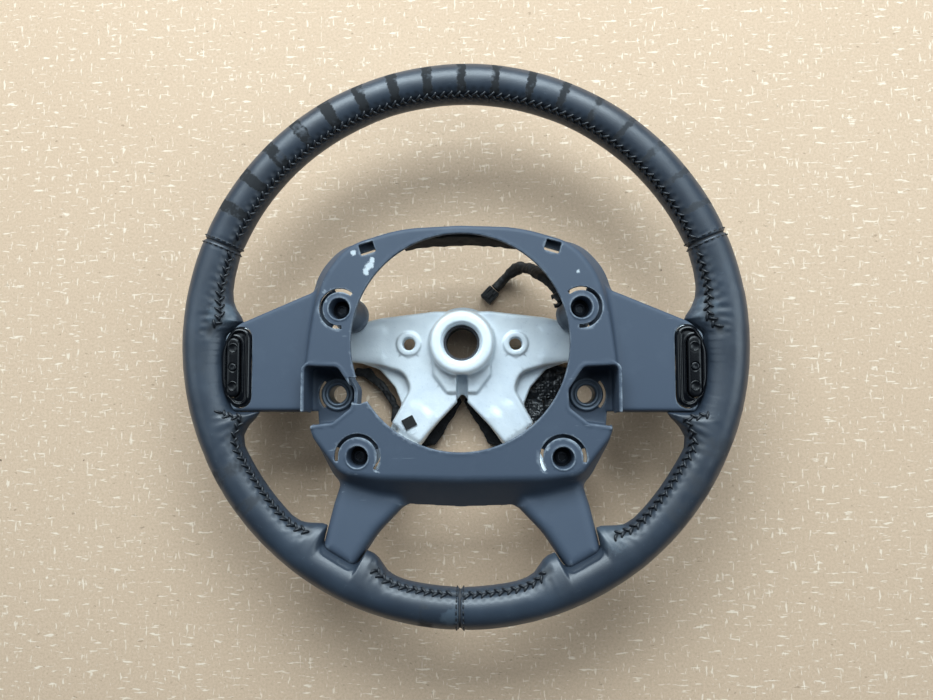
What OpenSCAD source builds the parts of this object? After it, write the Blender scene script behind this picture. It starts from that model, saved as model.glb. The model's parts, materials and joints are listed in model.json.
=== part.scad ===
// Leather-wrapped four-spoke steering wheel, airbag removed.
// Origin on the shaft axis at the back face of the hub. +Z faces the driver,
// +Y points to twelve o'clock, +X to the driver's right. Millimetres.

/* [Rim] */
// Radius of the circle that the grip's centre follows
rim_r = 179.5; // [176:0.5:182]
// Radius of the grip over the leather
grip_r = 13.7; // [13:0.1:14.5]
// Height of the rim's centre plane over the hub's back face
rim_z = 56; // [55:0.5:57]
// Thickness of the leather
leather_t = 1.3; // [1:0.1:1.6]
// Radius of the steel tube inside the rim
core_r = 5; // [4:0.5:5.5]
// Angle between neighbouring stitches along the inner edge
stitch_step = 2; // [1.5:0.5:4]

/* [Hub] */
// Outer radius of the cast boss
boss_r = 23.2; // [22:0.2:24]
// Height of the cast boss
boss_h = 35; // [34:0.5:37]
// Height of the cast web's front face
web_z = 20; // [18:0.5:21]
// Height of the cast web's back face
web_back = 8; // [7:0.5:10]
// Radius of the smooth pilot bore at the back of the steel bush
pilot_r = 12; // [11.8:0.1:12.3]
// Radius over the tips of the splines
spline_r = 11.2; // [10.8:0.1:11.4]
// Number of splines
spline_count = 36; // [24:1:48]
// Distance from the shaft axis to each puller hole
puller_x = 39.2; // [38:0.2:40]
// Radius of each puller hole
puller_hole_r = 4.6; // [4:0.1:5]

/* [Trim] */
// Height of the bezel's face
face_z = 70; // [69:0.5:71]
// Thickness of the moulded trim
trim_t = 2.4; // [2:0.1:2.8]
// Radius of the airbag opening
opening_r = 73; // [71:0.5:74]
// Height of the side spoke covers
cover_z = 60; // [59:0.5:61]
// Radius of the screw cups
cup_r = 7; // [6.5:0.1:7.2]
// Bore radius of the airbag bushings
bushing_bore_r = 6.3; // [6:0.1:7]
// Distance from the middle to each airbag bushing
bushing_x = 86.5; // [86:0.5:87.5]

/* [Switches] */
// Distance from the middle to each switch pod
pod_x = 155.5; // [155:0.1:155.8]
// Height of the pod's middle up the wheel
pod_y = -18.6; // [-19:0.1:-18]
// Length of the rocker strip
rocker_l = 41; // [39:0.5:42]
// Width of the rocker strip
rocker_w = 9; // [8.5:0.1:9.4]
// Radius of the round button
button_r = 2.8; // [2.4:0.1:3]
// Radius of the rocker's pivot pins
pivot_r = 1.4; // [1.2:0.1:1.6]

/* [Wiring] */
// Radius of the taped loom
loom_r = 4; // [3.5:0.5:4.5]
// Radius of each switch lead
lead_r = 1.8; // [1.5:0.1:2]

/* [Hidden] */
$fn = 64;
slack = 0.3;
big = 400;

// Seams between the three leather panels.
seam_right = 22;
seam_left = 158;
seam_bottom = 270;
seam_gap = 0.1;

// Lower spokes run outward at this angle.
lower_angle = -60.5;
sleeve_end = [77, -136];
sleeve_end_r = 16;
dimple_pitch = 13;

// Screw cups of the bezel: place, radius of the arc slot, its start and its sweep.
cups = [
    [81, 20.4, 12.6, -97, 227],
    [68, -78.8, 14.2, -11, 226],
];
cup_floor = face_z - 14;
opening_y = -2.3;
pocket_floor = 44;
bushing_y = -37;

// Switch pod levels, from the back plate up to the top of the rocker.
pod_back = 46;
pod_top = 62;
mat_z = 50.9;
pivot_z = 58.5;
rocker_bottom = 56.2;
rocker_top = 64.4;
running = 0.05;

function unit(v) = v / norm(v);
function turn(a) = a > 180 ? a - 360 : a < -180 ? a + 360 : a;

// Arc that rounds the corner b between a and c with radius r.
function corner(a, b, c, r, n = 5) =
    let (u = unit(a - b), v = unit(c - b), half = acos(u * v) / 2)
    let (m = b + unit(u + v) * r / sin(half), s = b + u * r / tan(half) - m)
    let (e = b + v * r / tan(half) - m, from = atan2(s.y, s.x))
    let (sweep = turn(atan2(e.y, e.x) - from))
    [for (i = [0:n]) m + r * [cos(from + sweep * i / n), sin(from + sweep * i / n)]];

function xy(p) = [p.x, p.y];

// Outline from points [x, y, corner radius].
function rounded(p) =
    [for (i = [0:len(p) - 1])
        let (b = p[i], a = p[(i + len(p) - 1) % len(p)], c = p[(i + 1) % len(p)])
        each b.z > 0 ? corner(xy(a), xy(b), xy(c), b.z) : [xy(b)]];

// Outline p made larger all round by g. Points run clockwise seen from +Z.
function grown(p, g) =
    [for (i = [0:len(p) - 1])
        let (b = p[i], a = p[(i + len(p) - 1) % len(p)], c = p[(i + 1) % len(p)])
        let (u = unit(xy(b) - xy(a)), v = unit(xy(c) - xy(b)))
        let (m = [-u.y, u.x], k = [-v.y, v.x], q = xy(b) + g * (m + k) / (1 + m * k))
        [q.x, q.y, max(b.z + (u.x * v.y - u.y * v.x < 0 ? g : -g), b.z > 0 ? 0.5 : 0)]];

// Outline that is the same on both sides, from its right half, top to bottom.
function both_sides(p) =
    concat(p, [for (i = [len(p) - 1:-1:0]) if (p[i].x > 0) [-p[i].x, p[i].y, p[i].z]]);

module mirror_copy() {
    children();
    mirror([1, 0, 0]) children();
}

module slab(outline, z0, z1) {
    translate([0, 0, z0]) linear_extrude(z1 - z0) polygon(rounded(outline));
}

module torus(major, minor, z) {
    translate([0, 0, z]) rotate_extrude($fn = 128) translate([major, 0]) circle(minor);
}

// ---------------------------------------------------------------- armature

web_outline = both_sides([
    [0, 24.3, 0], [20, 24.3, 12], [60, 19.5, 30], [80, 13, 4], [80, -13, 4], [61, -15.5, 10],
    [43, -21, 12], [38, -33, 10], [52, -58, 2], [31, -71, 2], [0, -39, 3],
]);
flange_outline = both_sides([
    [0, 20, 0], [74, 12, 3], [74, -14, 3], [61.7, -18.5, 6], [50, -32, 8], [44.6, -46, 6],
    [54, -62, 2], [30, -72, 2], [0, -36, 2],
]);
shield_outline = both_sides([[0, 10, 0], [22, 10, 4], [20.8, -23, 5], [11, -36, 3]]);

// Side view of an arm, from the web out to the rim tube.
side_arm = [
    [58, 7.6], [90, 7.6], [138, 27.6], [164, 37.6], [172, 47.6], [187, 47.6],
    [187, 63.6], [172.5, 63.6], [165.6, 43.6], [138, 41.6], [86, 19.6], [58, 19.6],
];
lower_arm = [
    [56, 7.6], [90, 7.6], [138, 29.6], [163, 39.6], [172, 47.6], [187, 47.6],
    [187, 63.6], [172.5, 63.6], [168, 46.1], [140, 43.6], [82, 19.6], [56, 19.6],
];

// Channel section: two flanges joined by a thinner web.
module arm(profile, width, flange) {
    rotate([90, 0, 0]) difference() {
        linear_extrude(width, center = true) polygon(profile);
        translate([4, -5, 0]) intersection() {
            linear_extrude(width - 2 * flange, center = true) polygon(profile);
            translate([66, 0, -width]) cube([94, 60, 2 * width]);
        }
    }
}

module arms() {
    for (a = [0, 180]) rotate([0, 0, a]) arm(side_arm, 24, 4);
    for (a = [lower_angle, 180 - lower_angle]) rotate([0, 0, a]) arm(lower_arm, 20, 4);
}

// Cast pillar and its foot under each bezel screw.
module screw_pillars() {
    mirror_copy() {
        translate([81, 20.4, web_back]) cylinder(r = 5.5, h = cup_floor - web_back);
        translate([70, 8, web_back]) rotate([0, 0, 48]) cube([17, 9, 8]);
        translate([68, -78.8, 14]) cylinder(r = 5.5, h = cup_floor - 14);
        translate([50, -91, 14]) rotate([0, 0, 34]) cube([22, 8, 8]);
    }
}

module hub_armature() {
    color("silver") difference() {
        union() {
            slab(web_outline, web_back + 4, web_z);
            slab(flange_outline, web_back, web_back + 5);
            slab(shield_outline, web_back, web_z + 4);
            cylinder(r = boss_r + 5, h = web_back + 1);
            cylinder(r = boss_r, h = boss_h - 1.5);
            translate([0, 0, boss_h - 1.5]) cylinder(r1 = boss_r, r2 = boss_r - 1.5, h = 1.5);
            mirror_copy() translate([puller_x, 0, web_back]) cylinder(r = 8.5, h = web_z - web_back + 1.2);
            arms();
            screw_pillars();
        }
        translate([0, 0, -1]) cylinder(r = bush_r, h = bush_l + 1);
        translate([0, 0, 1]) cylinder(r = 13, h = boss_h);
        translate([0, 0, boss_h - 2.5]) cylinder(r1 = 13, r2 = 16, h = 3);
        translate([-4, -39.5, web_z - 4]) cube([8, 18, 12]);
        mirror_copy() translate([puller_x, 0, 0]) cylinder(r = puller_hole_r, h = web_z + 10);
        for (p = [cups[0], cups[1]]) mirror_copy()
            translate([p.x, p.y, cup_floor - 13]) cylinder(r = screw_r, h = 20);
        torus(rim_r, core_r, rim_z);
    }
}

bush_r = 16;
bush_l = 27;
pilot_l = 10;

// Steel bush cast into the boss: smooth pilot at the back, splines in front.
module hub_spline_bush() {
    color("dimgray") difference() {
        cylinder(r = bush_r, h = bush_l);
        translate([0, 0, -1]) cylinder(r = pilot_r, h = pilot_l + 1);
        cylinder(r = spline_r, h = bush_l + 1);
        for (i = [0:spline_count - 1]) rotate([0, 0, i * 360 / spline_count])
            translate([spline_r - 0.5, 0, pilot_l - 1]) rotate([0, 0, 45])
                translate([-0.6, -0.6, 0]) cube([1.2, 1.2, bush_l]);
    }
}

// ---------------------------------------------------------------- rim

module rim_core_ring() {
    color("gray") torus(rim_r, core_r, rim_z);
}

// Room that the rim leaves for the arms and for the ends of the lower sleeves.
module rim_cutouts(gap) {
    arms();
    mirror_copy() translate([sleeve_end.x, sleeve_end.y, rim_z - 8])
        cylinder(r = sleeve_end_r + gap, h = 40);
}

module rim_foam() {
    color("dimgray") difference() {
        torus(rim_r, grip_r - leather_t, rim_z);
        torus(rim_r, core_r, rim_z);
        rim_cutouts(slack + leather_t);
    }
}

// Gussets where the leather runs from the rim on to the spokes.
upper_gusset = [[156, 60, 0], [160.5, 32, 20], [152, 17.5, 3], [164, 13, 0], [172, 20, 0], [168, 62, 0]];
lower_gusset = [[152, -68, 0], [147, -57, 6], [138, -50.5, 2], [160, -50, 0], [170, -50, 0], [164, -72, 0]];
outer_collar = [[114, -129, 0], [102, -124.5, 8], [91, -119, 2], [94, -134, 0], [106, -146, 0], [120, -138, 0]];
inner_collar = [[39, -165, 0], [54, -152, 6], [58, -138, 2], [66, -140, 0], [76, -164, 0], [44, -176, 0]];

// Leather over the arc from angle a0 to a1, with the gussets of its side.
module leather(a0, a1) {
    difference() {
        union() {
            translate([0, 0, rim_z]) rotate([0, 0, a0 + seam_gap])
                rotate_extrude(angle = a1 - a0 - 2 * seam_gap, $fn = 128)
                    translate([rim_r, 0]) circle(grip_r);
            children();
        }
        torus(rim_r, grip_r - leather_t, rim_z);
        rim_cutouts(slack);
    }
}

module gussets() {
    slab(upper_gusset, rim_z - 7, rim_z + 6.4);
    slab(lower_gusset, rim_z - 7, rim_z + 6);
    slab(outer_collar, rim_z - 7, rim_z + 5);
    slab(inner_collar, rim_z - 7, rim_z + 5);
}

module leather_top() {
    color("darkslategray") leather(seam_right, seam_left);
}

module leather_left() {
    color("darkslategray") leather(seam_left, seam_bottom) mirror([1, 0, 0]) gussets();
}

module leather_right() {
    color("darkslategray") leather(seam_bottom, seam_right + 360) gussets();
}

// Slanting stitches along the inner edge, a little above the grip's equator.
stitch_lift = 37;
thread_r = 0.6;

module stitches(a0, a1) {
    color("black") for (a = [a0 + stitch_step:stitch_step:a1 - stitch_step / 2])
        rotate([0, 0, a]) translate([rim_r, 0, rim_z]) rotate([0, stitch_lift - 90, 0])
            translate([0, 0, grip_r + thread_r + 0.1]) rotate([0, 0, 55]) rotate([90, 0, 0])
                cylinder(r = thread_r, h = 4.5, center = true, $fn = 16);
}

module stitching_top() { stitches(seam_right, seam_left); }
module stitching_left() { stitches(seam_left, 232); stitches(246, seam_bottom); }
module stitching_right() { stitches(seam_bottom, 294); stitches(308, seam_right + 360); }

// Two rows of thread round the grip at each seam.
module seam_stitching() {
    color("black") for (a = [seam_right, seam_left, seam_bottom]) for (row = [-1.6, 1.6])
        rotate([0, 0, a]) translate([rim_r, row, rim_z]) rotate([90, 0, 0])
            rotate_extrude($fn = 64) translate([grip_r + 0.5, 0]) circle(0.45, $fn = 16);
}

// ---------------------------------------------------------------- trim

face_outline = both_sides([
    [0, 76.6, 0], [40, 75, 60], [76, 63.5, 22], [92, 42, 14], [100, 12, 20], [104, -18, 20],
    [100, -64, 14], [79, -90, 12], [57, -92.5, 20], [0, -93.5, 0],
]);
foot_outline = both_sides([
    [0, 78, 0], [42, 76.5, 60], [84, 67, 16], [100, 50, 16], [106, 30, 20], [107, -20, 20],
    [103, -66, 14], [86, -98, 14], [56, -112, 14], [0, -114.5, 0],
]);
cover_outline = [
    [100, 34, 0], [108, 32, 5], [130, 22.7, 30], [154, 12.5, 12], [163.5, 4, 6], [165, -14, 40],
    [163, -34, 30], [157.5, -49.5, 5], [100, -49.5, 0],
];
sleeve_outline = [[44, -104.5, 0], [81, -97, 0], [92.5, -139, 14], [75.5, -154.5, 11]];
pocket_outline = [
    [82, -19, 6], [104, -18, 4], [104, -59, 4], [85, -56, 6], [72.5, -46, 5], [72, -34, 5],
];
pod_outline = [
    [144, 9, 6], [158.5, 9, 7], [163.9, -6, 16], [163.4, -31, 16], [157, -46, 7], [144, -46, 6],
];
foot_z = 46;
slot_w = 2.2;
lip_w = 1.5;
lip_h = 4;
sleeve_tilt = 8;

// Closed on top, open below, with walls of the trim's thickness.
module cap(outline, z0, z1) {
    difference() {
        slab(outline, z0, z1);
        slab(grown(outline, -trim_t), z0 - 1, z1 - trim_t);
    }
}

// Leans the right sleeve so that it rises towards the rim.
module lean() {
    translate([66, -103, 55]) rotate(a = sleeve_tilt, v = [-sin(-lower_angle), -cos(lower_angle), 0])
        translate([-66, 103, -55]) children();
}

module cup_slot(p) {
    translate([p.x, p.y, face_z - 6]) rotate([0, 0, p[3]])
        rotate_extrude(angle = p[4]) translate([p[2] - slot_w / 2, 0]) square([slot_w, 8]);
}

module trim_bezel() {
    color([0.38, 0.41, 0.45]) difference() {
        union() {
            difference() {
                union() {
                    slab(face_outline, foot_z, face_z);
                    slab(foot_outline, foot_z, cover_z);
                }
                slab(grown(face_outline, -trim_t), foot_z - 1, face_z - trim_t);
                slab(grown(foot_outline, -trim_t), foot_z - 1, cover_z - trim_t);
            }
            translate([0, opening_y, face_z - lip_h]) cylinder(r = opening_r + lip_w, h = lip_h);
            mirror_copy() for (p = cups)
                translate([p.x, p.y, cup_floor]) cylinder(r = cup_r + 1.8, h = face_z - cup_floor);
            mirror_copy() {
                slab(grown(pocket_outline, trim_t), pocket_floor - trim_t, cover_z);
                intersection() {
                    slab(grown(pocket_outline, trim_t), pocket_floor, face_z);
                    slab(face_outline, pocket_floor, face_z);
                }
                difference() {
                    cap(cover_outline, foot_z, cover_z);
                    slab(grown(foot_outline, -trim_t), foot_z - 1, cover_z - trim_t);
                }
                lean() difference() {
                    cap(sleeve_outline, foot_z + 1, cover_z - 5);
                    translate([30, -104, 0]) cube([60, 8, 100]);
                }
            }
        }
        translate([0, opening_y, 0]) cylinder(r = opening_r, h = big);
        mirror_copy() {
            slab(pocket_outline, pocket_floor, big);
            translate([bushing_x, bushing_y, 0]) cylinder(r = 9.5, h = big);
            for (p = cups) {
                translate([p.x, p.y, cup_floor + 2]) cylinder(r = cup_r, h = big);
                translate([p.x, p.y, cup_floor - 1]) cylinder(r = screw_r + 0.4, h = big);
                cup_slot(p);
            }
            translate([62.5, 61.5, face_z - 8]) rotate([0, 0, -17])
                translate([-5.4, -4, 0]) cube([10.8, 8, 10]);
            slab(grown(pod_outline, slack), pod_back - 8, big);
        }
    }
}

screw_r = 2.5;

// Pan-head screw with its head's underside at z = 0.
module screw(r, head_r, length) {
    difference() {
        union() {
            translate([0, 0, -length]) cylinder(r = r, h = length);
            cylinder(r = head_r, h = 2.6);
        }
        for (a = [0, 90]) rotate([0, 0, a]) translate([-head_r * 0.6, -0.5, 1]) cube([head_r * 1.2, 1, 3]);
    }
}

module bezel_screws() {
    color("silver") mirror_copy() for (p = cups)
        translate([p.x, p.y, cup_floor + 2]) screw(screw_r, 5, 14);
}

// Flanged steel bushes that the airbag's bolts pass through.
module airbag_bushings() {
    color("gray") mirror_copy() translate([bushing_x, bushing_y, pocket_floor]) difference() {
        union() {
            translate([0, 0, -17]) cylinder(r = 9.5, h = 17);
            cylinder(r = 11.5, h = 2);
        }
        translate([0, 0, -18]) cylinder(r = bushing_bore_r, h = 22);
    }
}

// ---------------------------------------------------------------- switches

// Outline of a strip with round ends, lying along Y at the pod's middle.
function strip(w, l) = let (r = w / 2 - 0.05, x = w / 2, y = l / 2) [
    [pod_x - x, pod_y + y, r], [pod_x + x, pod_y + y, r],
    [pod_x + x, pod_y - y, r], [pod_x - x, pod_y - y, r],
];

module pivot(r, length) {
    translate([pod_x, pod_y, pivot_z]) rotate([0, 90, 0]) cylinder(r = r, h = length, center = true);
}

screw_spots = [[150.5, 3.5], [150.5, -40.5]];

// Black shell with a well for the rocker and a bore each side for its pins.
module switch_housing() {
    color([0.05, 0.05, 0.06]) difference() {
        slab(pod_outline, pod_back, pod_top);
        slab(strip(rocker_w + 0.8, rocker_l + 1.2), mat_z - 3, pod_top + 1);
        difference() {
            slab(grown(pod_outline, -1.8), pod_back - 1, mat_z + 3.6);
            for (p = screw_spots) translate([p.x, p.y, pod_back + 1.5]) cylinder(r = 2.4, h = 10);
        }
        for (p = screw_spots) translate([p.x, p.y, pod_back]) cylinder(r = 1.1, h = 5);
        pivot(pivot_r + running, rocker_w + 5.4);
    }
}

module switch_rocker() {
    dimple_r = 9;
    color([0.08, 0.08, 0.09]) difference() {
        union() {
            slab(strip(rocker_w, rocker_l), rocker_bottom, rocker_top - 1);
            slab(strip(rocker_w - 1.6, rocker_l - 1.6), rocker_bottom, rocker_top);
            pivot(pivot_r, rocker_w + 3.2);
        }
        translate([pod_x, pod_y, 0]) cylinder(r = button_r + 0.2, h = big);
        for (s = [-1, 1]) translate([pod_x, pod_y + s * dimple_pitch, rocker_top + dimple_r - 1]) sphere(dimple_r);
        translate([pod_x, pod_y, rocker_bottom - 1]) cylinder(r = button_r + 1.3, h = 2.6);
    }
}

module switch_button() {
    color([0.1, 0.1, 0.11]) translate([pod_x, pod_y, 0]) {
        translate([0, 0, rocker_bottom - 1]) cylinder(r = button_r, h = rocker_top - rocker_bottom + 1.6);
        translate([0, 0, rocker_bottom - 1]) cylinder(r = button_r + 0.9, h = 1);
    }
}

// Flat piece inside the housing, cut away round the screw posts.
module inner_plate(z0, z1) {
    difference() {
        slab(grown(pod_outline, -2.2), z0, z1);
        for (p = screw_spots) translate([p.x, p.y, z0 - 1]) cylinder(r = 2.6, h = 8);
    }
}

// Rubber sheet with a dome under the button and under each end of the rocker.
module dome_mat() {
    color("dimgray") {
        inner_plate(mat_z, mat_z + 1.2);
        for (s = [-1, 0, 1]) translate([pod_x, pod_y + s * dimple_pitch, mat_z + 1]) cylinder(r1 = 3.4, r2 = 2, h = 1.7);
    }
}

module switch_board() {
    color("darkgreen") inner_plate(mat_z - 1.6, mat_z);
}

// Plate that closes the housing, with the socket for the lead's plug.
module switch_backplate() {
    color([0.1, 0.1, 0.11]) difference() {
        union() {
            slab(grown(pod_outline, -2.2), pod_back, pod_back + 1.5);
            translate([pod_x - 5, pod_y - 15, pod_back - 5]) cube([10, 8, 5]);
            for (y = [-12, 12]) translate([pod_x, pod_y + y, pod_back + 1]) cylinder(r = 2, h = mat_z - pod_back - 2.6);
        }
        translate([pod_x - 4, pod_y - 14, pod_back - 6]) cube([8, 6, 5]);
        for (p = screw_spots) translate([p.x, p.y, pod_back - 1]) cylinder(r = 1.3, h = 4);
    }
}

module switch_screws() {
    color("silver") mirror_copy() for (p = screw_spots)
        translate([p.x, p.y, pod_back]) rotate([180, 0, 0]) screw(1.1, 2.2, 4);
}

module lead_plug() {
    color("whitesmoke") translate([pod_x - 3.8, pod_y - 13.8, pod_back - 9]) cube([7.6, 5.6, 8]);
}

// ---------------------------------------------------------------- wiring

// Tube of radius r with n sides swept along the points of a route.
function along(p, i) = unit(p[min(i + 1, len(p) - 1)] - p[max(i - 1, 0)]);
function ring(c, d, r, n) =
    let (u = unit(cross(d, [0.1, 0.2, 1])), v = cross(u, d))
    [for (k = [0:n - 1]) c + r * (cos(360 * k / n) * u + sin(360 * k / n) * v)];

module tube(p, r, n) {
    last = len(p) - 1;
    sides = [for (i = [0:last - 1]) for (k = [0:n - 1])
        let (a = i * n + k, b = i * n + (k + 1) % n)
        each [[a, b, b + n], [a, b + n, a + n]]];
    ends = [[for (k = [n - 1:-1:0]) k], [for (k = [0:n - 1]) last * n + k]];
    polyhedron([for (i = [0:last]) each ring(p[i], along(p, i), r, n)], concat(sides, ends));
}

// Loom that hangs free, from under the bezel down to its connector.
loom_route = [
    [74, 30, 40], [70.5, 33.5, 40], [66, 38.5, 39], [61, 44, 36], [55, 50, 30], [49, 55, 22],
    [42, 56.5, 14], [36, 53.5, 8.5], [30, 48, 5.5], [24.5, 42, 5],
];
// Lead from a switch pod along the arm to the web.
lead_route = [
    [155.5, -29.6, 37], [155.5, -29.6, 34], [151, -29, 29.5], [140, -27, 26], [128, -22, 22],
    [116, -19, 18], [104, -18, 14], [92, -18, 11], [82, -20, 9.8],
];

module harness_loom() { color([0.08, 0.08, 0.08]) tube(loom_route, loom_r, 12); }

module harness_connector() {
    color([0.1, 0.1, 0.1]) translate([24.5, 42, 5]) rotate([0, 0, 227]) difference() {
        translate([0.4, -5, -4.5]) cube([10.6, 10, 9]);
        translate([5, -3.6, -3]) cube([7, 7.2, 6]);
    }
}

// Clip on a screw pillar, with a loop for the loom and a hooked tail.
module harness_clip() {
    loop = [70.5, 33.5, 40];
    color([0.12, 0.12, 0.12]) difference() {
        union() {
            translate([81, 20.4, 33]) cylinder(r = 8, h = 9);
            translate([81, 20.4, 33.4]) rotate([0, 0, 128.7]) translate([6, -3, 0]) cube([13, 6, 2.4]);
            translate(loop) rotate([90, 0, 41]) cylinder(r = loom_r + 1.8, h = 5, center = true);
            translate([loop.x - 1, loop.y - 1, 37]) rotate([0, 0, 215]) translate([4, -1.6, 0]) cube([6, 3.2, 4]);
        }
        translate([81, 20.4, 32]) cylinder(r = 5.6, h = 12);
        translate(loop) rotate([90, 0, 41]) cylinder(r = loom_r + 0.3, h = 8, center = true);
    }
}

module switch_lead() { color([0.06, 0.06, 0.06]) tube(lead_route, lead_r, 8); }

// Cloth tape along the lower edge of the left arm.
module tape_strip_left() {
    color([0.05, 0.05, 0.05]) slab([
        [-81, -17, 2], [-70, -17.5, 4], [-56, -32, 6], [-46, -48, 4], [-47, -60, 2],
        [-54, -58, 2], [-53, -46, 6], [-62, -33, 8], [-74, -24, 6], [-81, -23, 2],
    ], 3, 7.5);
}

// Crumpled film and tape under the right arm.
module tape_bundle_right() {
    color([0.05, 0.05, 0.05]) slab([
        [81, -16, 2], [62, -16, 6], [46, -30, 6], [42, -46, 6], [50, -60, 4], [60, -55, 6],
        [68, -38, 6], [81, -25, 2],
    ], 2, 7.5);
}

// Foam strips along both edges of the notch between the lower arms.
module notch_foam() {
    color([0.06, 0.06, 0.06]) mirror_copy() slab([
        [1, -41, 0], [4, -38, 0], [33, -71, 0], [29, -76, 0], [24, -72, 0],
    ], 2, 7.5);
}

// Foam strip inside the bezel's top wall, hanging below its edge.
module wall_foam() {
    color([0.06, 0.06, 0.06]) slab(both_sides([
        [0, 73, 0], [20, 72.2, 30], [41, 70, 0], [40, 66.5, 0], [20, 69, 30], [0, 69.8, 0],
    ]), 34, 66);
}

module tape_square() {
    color([0.05, 0.05, 0.05]) translate([-38.5, -57.5, web_z + 0.9]) rotate([0, 0, 28]) cube([9, 8, 1.6], center = true);
}

module earth_tab() {
    color("silver") translate([-35.2, -63.4, web_z + 0.5]) rotate([0, 0, 28]) cube([5, 4, 0.8], center = true);
}

hub_armature();
hub_spline_bush();
rim_core_ring();
rim_foam();
leather_top();
leather_left();
leather_right();
stitching_top();
stitching_left();
stitching_right();
seam_stitching();
trim_bezel();
bezel_screws();
airbag_bushings();
switch_housing();  // switch_housing_right
mirror([1, 0, 0]) switch_housing();  // switch_housing_left
switch_rocker();  // switch_rocker_right
mirror([1, 0, 0]) switch_rocker();  // switch_rocker_left
switch_button();  // switch_button_right
mirror([1, 0, 0]) switch_button();  // switch_button_left
dome_mat();  // dome_mat_right
mirror([1, 0, 0]) dome_mat();  // dome_mat_left
switch_board();  // switch_board_right
mirror([1, 0, 0]) switch_board();  // switch_board_left
switch_backplate();  // switch_backplate_right
mirror([1, 0, 0]) switch_backplate();  // switch_backplate_left
switch_screws();
lead_plug();  // lead_plug_right
mirror([1, 0, 0]) lead_plug();  // lead_plug_left
switch_lead();  // switch_lead_right
mirror([1, 0, 0]) switch_lead();  // switch_lead_left
harness_loom();
harness_connector();
harness_clip();
tape_strip_left();
tape_bundle_right();
notch_foam();
wall_foam();
tape_square();
earth_tab();
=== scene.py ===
"""A leather-wrapped steering wheel lying on its back, airbag removed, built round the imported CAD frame.

Lengths are millimetres until a mesh is made. +Z faces the driver, +Y points to twelve o'clock.
Hard mouldings and castings are modelled as signed distance fields, blended with round fillets and meshed.
"""
import copy
import json
import math
from itertools import product

import bpy
import numpy as np
import openvdb
from mathutils import Matrix, Vector


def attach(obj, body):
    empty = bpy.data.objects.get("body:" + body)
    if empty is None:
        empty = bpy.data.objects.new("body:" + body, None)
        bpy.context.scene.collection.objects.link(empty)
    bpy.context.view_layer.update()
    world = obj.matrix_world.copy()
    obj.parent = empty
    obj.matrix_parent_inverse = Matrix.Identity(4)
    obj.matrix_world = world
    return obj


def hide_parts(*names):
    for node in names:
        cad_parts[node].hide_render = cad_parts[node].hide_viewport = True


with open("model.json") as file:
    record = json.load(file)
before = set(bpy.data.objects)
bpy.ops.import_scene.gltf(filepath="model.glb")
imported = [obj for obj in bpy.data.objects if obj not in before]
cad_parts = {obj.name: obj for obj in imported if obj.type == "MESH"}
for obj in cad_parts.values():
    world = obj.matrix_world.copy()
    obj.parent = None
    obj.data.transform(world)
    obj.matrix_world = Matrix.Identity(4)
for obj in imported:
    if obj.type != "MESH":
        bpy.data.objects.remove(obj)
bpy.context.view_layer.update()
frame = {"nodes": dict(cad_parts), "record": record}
scene = bpy.context.scene
nodes = frame["nodes"]
MM = 0.001
FINE = 1.0  # coarser fields while other pieces are worked on

# --- driving dimensions

RIM_R, GRIP_R, RIM_Z = 179.5, 13.7, 56.0  # the rim's centre circle, the grip's radius and its height
FOAM_R = 13.0  # the foam under the leather
FACE_Z, FOOT_Z, COVER_Z, WALL = 70.0, 46.0, 60.0, 2.4  # the bezel's levels and its wall
OPENING_R, OPENING_Y = 73.0, -2.3  # the airbag opening
CUP_R, CUP_FLOOR = 7.0, 56.0  # the screw cups
POCKET_FLOOR = 44.0
BUSHING = (86.5, -37.0)
BOSS_R, BOSS_H = 23.2, 35.0
PULLER_X, PULLER_R = 39.2, 4.6  # the two puller holes beside the boss
LOWER_ANGLE = math.radians(-60.5)  # the right lower arm, from +X
POD_X, POD_Y, POD_TOP = 155.5, -18.6, 62.0
STRIP_W, STRIP_L, DIMPLE_Y = 9, 41, 13  # the rocker strip, and how far its dimples are from its middle
SEAMS = (22, 158, 270)  # degrees round the rim
PITCH = 5.6  # from stitch to stitch along the rim

# Outlines: corner points with the radius of each corner, clockwise seen from the driver.
FACE = [(0, 76.6, 0), (40, 75, 110), (76, 63.5, 38), (92, 42, 60), (100, 12, 150), (104, -18, 60),
        (100, -64, 22), (79, -90, 16), (57, -92.5, 60), (0, -93.5, 0)]
FOOT = [(0, 78, 0), (42, 76.5, 110), (84.5, 67, 32), (100, 50, 40), (106, 30, 60), (107, -20, 90),
        (103, -66, 24), (86, -98, 30), (56, -112, 30), (0, -114.5, 0)]
COVER = [(98, 36, 0), (108, 32, 5), (130, 22.7, 30), (154, 12.5, 12), (163.5, 4, 6), (165, -14, 40),
         (163, -34, 30), (157.5, -49.5, 5), (98, -49.5, 0)]
SLEEVE = [(38, -113, 0), (40, -104, 0), (81, -92, 0), (87.4, -112, 90), (94.6, -141.5, 7.5),
          (71.4, -155.0, 6.5), (55.5, -131, 60)]
POCKET = [(82, -19, 6), (104.5, -18, 4), (104.5, -58.5, 4), (85, -56, 6), (72.5, -46, 5), (72, -34, 5)]
LEFT_NOTCH = [(-80, -26, 0), (-60, -26, 0), (-60, -41, 0), (-66.5, -43.6, 1), (-71.8, -43, 1),
              (-73.4, -34, 3), (-74.2, -26, 0)]
POD = [(144, 9, 8.5), (157.6, 9, 9), (164.2, -7, 22), (164.0, -30, 22), (156.6, -46, 9), (144, -46, 8.5)]
WEB = [(0, 24.3, 0), (20, 24.3, 12), (60, 19.5, 30), (92, 12, 4), (92, -12, 4), (61, -15.5, 10),
       (43, -21, 12), (38, -33, 10), (52, -58, 2), (31, -71, 2), (0, -39, 3)]
FLANGE = [(0, 20, 0), (74, 12, 3), (74, -14, 3), (61.7, -18.5, 6), (50, -32, 8), (44.6, -46, 6),
          (54, -62, 2), (30, -72, 2), (0, -36, 2)]
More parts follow.
